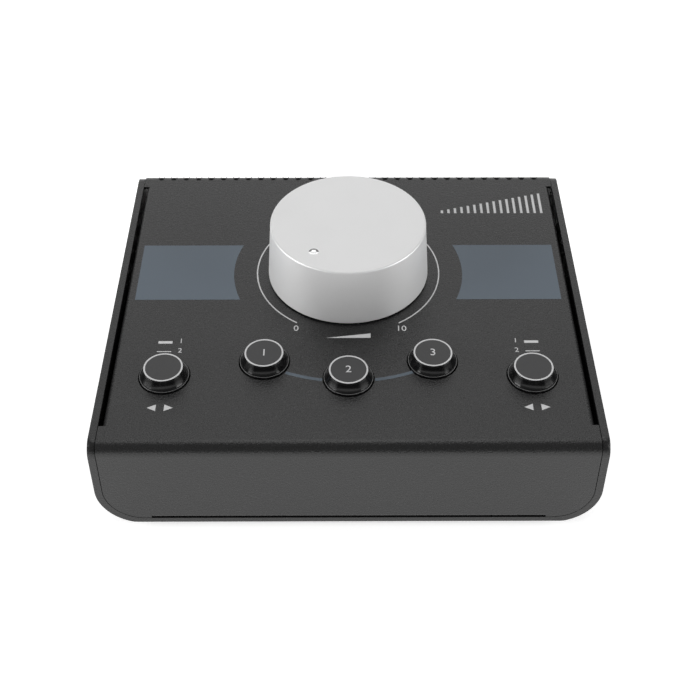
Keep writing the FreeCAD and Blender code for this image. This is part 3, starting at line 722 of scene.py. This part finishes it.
def digits(name, words, size, place, out=PRINT_HIGH, body="case"):
    """Plain digits printed flat at a height, on the cover unless another body is named."""
    curve = bpy.data.curves.new(name, "FONT")
    curve.body = words
    curve.size = size * MM
    curve.align_x = "CENTER"
    curve.align_y = "CENTER"
    curve.extrude = DIGIT_HALF_THICKNESS * MM
    curve.resolution_u = 6
    holder = bpy.data.objects.new(name, curve)
    bpy.context.scene.collection.objects.link(holder)
    bpy.context.view_layer.update()
    graph = bpy.context.evaluated_depsgraph_get()
    mesh = bpy.data.meshes.new_from_object(holder.evaluated_get(graph))
    bpy.data.objects.remove(holder)
    mesh.materials.clear()
    finish_mesh(name, on_panel(mesh, place[0], place[1], out), "print", body, SMOOTH_ANGLE)


def dial_prints():
    """Line round the knob with a number at each end."""
    print_piece("dial_line", arc_print(DIAL_RADIUS, DIAL_LINE, DIAL_START, DIAL_END, 160))
    digits("dial_low_number", "0", DIAL_DIGIT_SIZE, DIAL_LOW_PLACE)
    digits("dial_high_number", "10", DIAL_DIGIT_SIZE, DIAL_HIGH_PLACE)


def band_prints():
    """Blue-grey arcs between the three middle buttons."""
    for index, (start, end) in enumerate(BAND_SPANS):
        band = arc_print(BAND_RADIUS, BAND_WIDTH, start, end, 24)
        print_piece("button_band_" + str(index + 1), band, "window")


def selector_bars(button, side):
    """A wide and a narrow bar behind a selector button, each with its number."""
    up = button_centres[button][1]
    across = side * BAR_DISTANCE
    half = BAR_LENGTH / 2
    for name, rise, depth in BARS:
        outline = [(-half, -depth / 2), (half, -depth / 2), (half, depth / 2), (-half, depth / 2)]
        print_piece(button + "_bar_" + name, flat_print([outline]), across=across, up=up + rise)
    for digit, rise in BAR_DIGITS:
        place = (across - side * BAR_DIGIT_GAP, up + rise)
        digits(button + "_mark_" + digit, digit, BAR_DIGIT_SIZE, place)


def selector_arrows(button):
    """Two plain arrowheads in front of a selector button."""
    across, up = button_centres[button]
    outlines = []
    for side in (-1, 1):
        near = side * ARROW_NEAR
        outlines.append([(near, -ARROW_TALL), (side * ARROW_FAR, 0.0), (near, ARROW_TALL)])
    print_piece(button + "_arrows", flat_print(outlines), across=across, up=up - ARROW_DROP)


def level_scale():
    """Ticks that grow with the level, in the corner behind the right window."""
    outlines = []
    for index in range(SCALE_TICKS):
        left = SCALE_START + index * SCALE_PITCH
        right = left + SCALE_TICK
        top = SCALE_FOOT + (SCALE_LOW + index * (SCALE_HIGH - SCALE_LOW) / (SCALE_TICKS - 1))
        outlines.append([(left, SCALE_FOOT), (right, SCALE_FOOT), (right, top), (left, top)])
    print_piece("level_scale", flat_print(outlines))


def level_wedge():
    """Plain rising wedge between the ends of the dial line."""
    outline = [(-WEDGE_HALF, WEDGE_FOOT), (WEDGE_HALF, WEDGE_FOOT), (WEDGE_HALF, WEDGE_FOOT + WEDGE_TALL)]
    print_piece("level_wedge", flat_print([outline]))


def cap_digits():
    """A number on each of the three middle caps."""
    out = CAP_TOP + RING_RISE
    for number, button in enumerate(("mono", "mute", "dim")):
        digits(button + "_number", str(number + 1), CAP_DIGIT_SIZE, button_centres[button], out,
               button + "_button")


def panel_prints():
    window_print(-1)
    window_print(1)
    dial_prints()
    band_prints()
    selector_bars("source", -1)
    selector_bars("monitor", 1)
    selector_arrows("source")
    selector_arrows("monitor")
    level_scale()
    level_wedge()
    cap_digits()


panel_prints()


# Vents: painted shade, a thin dark ring round each hole at the start of the rear bend, so the holes read as
# round dark openings

VENT_COUNT = 31
VENT_REACH = 87.0
VENT_RADIUS = 1.35
VENT_SHADE_HALF_WIDTH = 0.12
VENT_LIFT = 0.03
VENT_BEND_ANGLE = 10.0
VENT_STEPS = 28
REAR_BEND = 5.0
PANEL_BEND_START = 65.95


def bend_place(across, along):
    """Point just over the rear bend, that far along the sheet from where the bend starts."""
    angle = max(along / REAR_BEND, 0.0)
    rise = REAR_BEND + VENT_LIFT
    up = PANEL_BEND_START + rise * math.sin(angle) + min(along, 0.0)
    out = rise * math.cos(angle) - REAR_BEND
    return panel_frame @ (Vector((across, up, out)) * MM)


# Painted shade: one dark ring round a vent, following the bend
def vent_shade_ring(shape, middle):
    rows = []
    for step in range(VENT_STEPS):
        turn = 2 * math.pi * step / VENT_STEPS
        row = []
        for radius in (VENT_RADIUS - VENT_SHADE_HALF_WIDTH, VENT_RADIUS + VENT_SHADE_HALF_WIDTH):
            along = REAR_BEND * math.radians(VENT_BEND_ANGLE) + radius * math.sin(turn)
            row.append(shape.verts.new(bend_place(middle + radius * math.cos(turn), along)))
        rows.append(row)
    for step, row in enumerate(rows):
        following = rows[(step + 1) % len(rows)]
        shape.faces.new((row[0], row[1], following[1], following[0]))


def vent_shade_rings():
    """Painted shade: thin dark rings that follow the bend round every vent."""
    shape = bmesh.new()
    for index in range(VENT_COUNT):
        vent_shade_ring(shape, VENT_REACH * (2 * index / (VENT_COUNT - 1) - 1))
    mesh = take_mesh(shape, "vent_shade_rings")
    finish_mesh("vent_shade_rings", mesh, "rubber_and_shade", "case", ROUND_SMOOTH_ANGLE)


vent_shade_rings()


# Rear sockets: threaded nose and plated mouth on each, as radii and lengths in millimetres

SOCKET_HEIGHT = 27.0
SOCKET_SIDES = 64
SOCKET_SKIN = 0.05
NOSE_LIFT = 0.03
NOSE_CHAMFER = 0.35
NOSE_FACE_INSET = 0.7
THREAD_PITCH = 0.75
THREAD_DEPTH = 0.22
THREAD_END_GAP = 0.4
MOUTH_DEPTH = 1.2
MOUTH_LIFT = 0.06
MOUTH_FACE = (0.2, 0.6)
MOUTH_EDGE = (0.72, 0.02)
PHONE_NOSE_RADIUS = 5.9
PHONE_BORE_RADIUS = 3.25
PHONE_NOSE_SHOWN = 2.1
MEDIA_NOSE_RADIUS = 3.4
MEDIA_BORE_RADIUS = 1.8
MEDIA_NOSE_SHOWN = 1.2


def nose_thread(nose_radius, bore_radius, shown):
    """Chamfered end and thread over the length of a nose that stands out of its nut."""
    core = nose_radius + SOCKET_SKIN
    profile = [(bore_radius + NOSE_FACE_INSET, NOSE_LIFT), (nose_radius - NOSE_CHAMFER, NOSE_LIFT),
               (core, -NOSE_CHAMFER)]
    for turn in range(int((shown - THREAD_END_GAP) / THREAD_PITCH)):
        height = -NOSE_CHAMFER - turn * THREAD_PITCH
        profile.append((core + THREAD_DEPTH, height - THREAD_PITCH / 2))
        profile.append((core, height - THREAD_PITCH))
    return lathe(profile, SOCKET_SIDES)


def plated_mouth(bore_radius):
    inner = bore_radius + SOCKET_SKIN
    face = [(bore_radius + wider, MOUTH_LIFT) for wider in MOUTH_FACE]
    edge = (bore_radius + MOUTH_EDGE[0], MOUTH_EDGE[1])
    return lathe([(inner, -MOUTH_DEPTH), (inner, 0.0)] + face + [edge], SOCKET_SIDES)


def socket_trim(node, nose_radius, bore_radius, shown):
    low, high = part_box(node)
    place = Matrix.Translation(Vector(((low.x + high.x) / 2, high.y, SOCKET_HEIGHT * MM))) @ REARWARD
    thread = nose_thread(nose_radius, bore_radius, shown)
    thread.transform(place)
    finish_mesh(node + "_thread", thread, "plastic", "case", SMOOTH_ANGLE)
    mouth = plated_mouth(bore_radius)
    mouth.transform(place)
    finish_mesh(node + "_mouth", mouth, "nickel", "case", SMOOTH_ANGLE)


for socket_node in sorted(frame["nodes"]):
    if socket_node == "media_socket":
        socket_trim(socket_node, MEDIA_NOSE_RADIUS, MEDIA_BORE_RADIUS, MEDIA_NOSE_SHOWN)
    elif socket_node.endswith("_socket"):
        socket_trim(socket_node, PHONE_NOSE_RADIUS, PHONE_BORE_RADIUS, PHONE_NOSE_SHOWN)


# Screw heads: domed, with a dark cross standing out of the dome as painted shade of a cross recess

HEAD_RADIUS = 2.75
HEAD_HEIGHT = 1.7
HEAD_CROWN = 0.05
HEAD_OUTLINE = ((1.2, 1.7), (2.1, 1.45), (2.6, 0.95), (2.82, 0.4), (2.82, 0))
HEAD_SIDES = 48
CROSS_LENGTH = 1.3
CROSS_WIDTH = 0.24
CROSS_FOOT = 1.4
CROSS_LIFT = 0.07


def screw_head(name, place):
    dome = lathe([(0, HEAD_HEIGHT + HEAD_CROWN), *HEAD_OUTLINE], HEAD_SIDES)
    dome.transform(place)
    finish_mesh(name, dome, "black_steel", "case", SMOOTH_ANGLE)
    # Dark matte cross on the dome: painted shade in place of the cross recess
    arms = []
    for across, up in ((CROSS_LENGTH, CROSS_WIDTH), (CROSS_WIDTH, CROSS_LENGTH)):
        arms.append(boxed((-across, -up, CROSS_FOOT), (across, up, HEAD_HEIGHT + CROSS_LIFT)))
    cross = combined(arms)
    cross.transform(place)
    finish_mesh(name + "_cross_shade", cross, "rubber_and_shade", "case", SMOOTH_ANGLE)


def rear_screw_heads():
    low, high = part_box("rear_screws")
    middle = (low.z + high.z) / 2
    reach = HEAD_RADIUS * MM
    for index, x in enumerate((low.x + reach, high.x - reach)):
        place = Matrix.Translation(Vector((x, high.y - HEAD_HEIGHT * MM, middle))) @ REARWARD
        screw_head("rear_screw_head_" + str(index + 1), place)


def base_screw_heads():
    low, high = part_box("base_screws")
    reach = HEAD_RADIUS * MM
    places = [(x, y) for y in (low.y + reach, high.y - reach) for x in (low.x + reach, 0.0, high.x - reach)]
    for index, (x, y) in enumerate(places):
        place = Matrix.Translation(Vector((x, y, low.z + HEAD_HEIGHT * MM))) @ DOWNWARD
        screw_head("base_screw_head_" + str(index + 1), place)


rear_screw_heads()
base_screw_heads()


# Stage, lights and camera. Softboxes are a name, a place and a size in metres, and a power in watts.

FLOOR_HALF = 6.0
FLOOR_COLOUR = (0.85, 0.85, 0.85, 1.0)
FLOOR_GLOW_SEEN = 0.62
FLOOR_GLOW_REFLECTED = 0.8
WHITE = (1.0, 1.0, 1.0, 1.0)
WORLD_LIGHT = 0.14
WORLD_REFLECTED = 0.1
LIGHT_AIM = (0.0, 0.0, 0.04)
SOFTBOXES = (
    ("rear_softbox", (0.0, 1.25, 1.25), (2.2, 1.0), 5.1),
    ("backdrop_softbox", (0.0, 2.1, 0.75), (3.0, 0.8), 8.0),
    ("top_softbox", (0.0, 0.35, 1.7), (1.2, 0.8), 5.5),
    ("left_softbox", (-1.5, -0.45, 0.5), (1.1, 0.9), 22.0),
    ("right_softbox", (1.5, -0.45, 0.5), (1.1, 0.9), 17.0),
)

# Camera, worked out from the photograph's perspective: place in millimetres in the row frame, degrees
CAMERA_PLACE = (-0.7, -417.2, 353.5)
CAMERA_TILT_DOWN = 38.516
CAMERA_TURN = -0.2
CAMERA_LENS = 62.64
CAMERA_SENSOR = 36.0
CAMERA_CLIP = (0.01, 50.0)


def floor_material():
    """Pale floor that takes the object's shadow, with a glow that only the camera and reflections see."""
    material = bpy.data.materials.new("floor_white")
    material.use_nodes = True
    tree = material.node_tree
    tree.nodes.clear()
    output = tree.nodes.new("ShaderNodeOutputMaterial")
    diffuse = tree.nodes.new("ShaderNodeBsdfDiffuse")
    diffuse.inputs["Color"].default_value = FLOOR_COLOUR
    glow = tree.nodes.new("ShaderNodeEmission")
    path = tree.nodes.new("ShaderNodeLightPath").outputs
    reflected = calculate(tree, "MAXIMUM", path["Is Glossy Ray"], path["Is Transmission Ray"])
    seen = calculate(tree, "MULTIPLY", path["Is Camera Ray"], FLOOR_GLOW_SEEN)
    strength = calculate(tree, "MULTIPLY_ADD", reflected, FLOOR_GLOW_REFLECTED, seen)
    tree.links.new(strength, glow.inputs["Strength"])
    both = tree.nodes.new("ShaderNodeAddShader")
    tree.links.new(diffuse.outputs["BSDF"], both.inputs[0])
    tree.links.new(glow.outputs["Emission"], both.inputs[1])
    tree.links.new(both.outputs["Shader"], output.inputs["Surface"])
    return material


def make_floor():
    mesh = bpy.data.meshes.new("floor")
    half = FLOOR_HALF
    corners = [(-half, -half, 0), (half, -half, 0), (half, half, 0), (-half, half, 0)]
    mesh.from_pydata(corners, [], [(0, 1, 2, 3)])
    mesh.materials.append(floor_material())
    floor = bpy.data.objects.new("floor", mesh)
    bpy.context.scene.collection.objects.link(floor)


def background(tree, strength):
    node = tree.nodes.new("ShaderNodeBackground")
    node.inputs["Color"].default_value = WHITE
    node.inputs["Strength"].default_value = strength
    return node.outputs["Background"]


def make_world():
    """White to the camera and through glass, a share of that in reflections, dim as a light."""
    world = bpy.data.worlds.new("studio")
    bpy.context.scene.world = world
    world.use_nodes = True
    tree = world.node_tree
    tree.nodes.clear()
    output = tree.nodes.new("ShaderNodeOutputWorld")
    path = tree.nodes.new("ShaderNodeLightPath").outputs
    seen = calculate(tree, "MAXIMUM", path["Is Camera Ray"], path["Is Transmission Ray"])
    share = calculate(tree, "MULTIPLY_ADD", path["Is Glossy Ray"], WORLD_REFLECTED, seen)
    mix = tree.nodes.new("ShaderNodeMixShader")
    tree.links.new(share, mix.inputs["Fac"])
    tree.links.new(background(tree, WORLD_LIGHT), mix.inputs[1])
    tree.links.new(background(tree, 1.0), mix.inputs[2])
    tree.links.new(mix.outputs["Shader"], output.inputs["Surface"])


def make_lights():
    for name, place, size, power in SOFTBOXES:
        light = bpy.data.lights.new(name, "AREA")
        light.shape = "RECTANGLE"
        light.size, light.size_y = size
        light.energy = power
        lamp = bpy.data.objects.new(name, light)
        lamp.location = place
        lamp.rotation_euler = (Vector(LIGHT_AIM) - Vector(place)).to_track_quat("-Z", "Y").to_euler()
        lamp.visible_camera = False
        bpy.context.scene.collection.objects.link(lamp)


def make_camera():
    camera = bpy.data.cameras.new("camera")
    camera.sensor_width = CAMERA_SENSOR
    camera.lens = CAMERA_LENS
    camera.clip_start, camera.clip_end = CAMERA_CLIP
    holder = bpy.data.objects.new("camera", camera)
    holder.location = Vector(CAMERA_PLACE) * MM
    holder.rotation_euler = (math.radians(90.0 - CAMERA_TILT_DOWN), 0.0, math.radians(CAMERA_TURN))
    bpy.context.scene.collection.objects.link(holder)
    bpy.context.scene.camera = holder


make_floor()
make_world()
make_lights()
make_camera()
bpy.context.scene.view_settings.view_transform = "Standard"
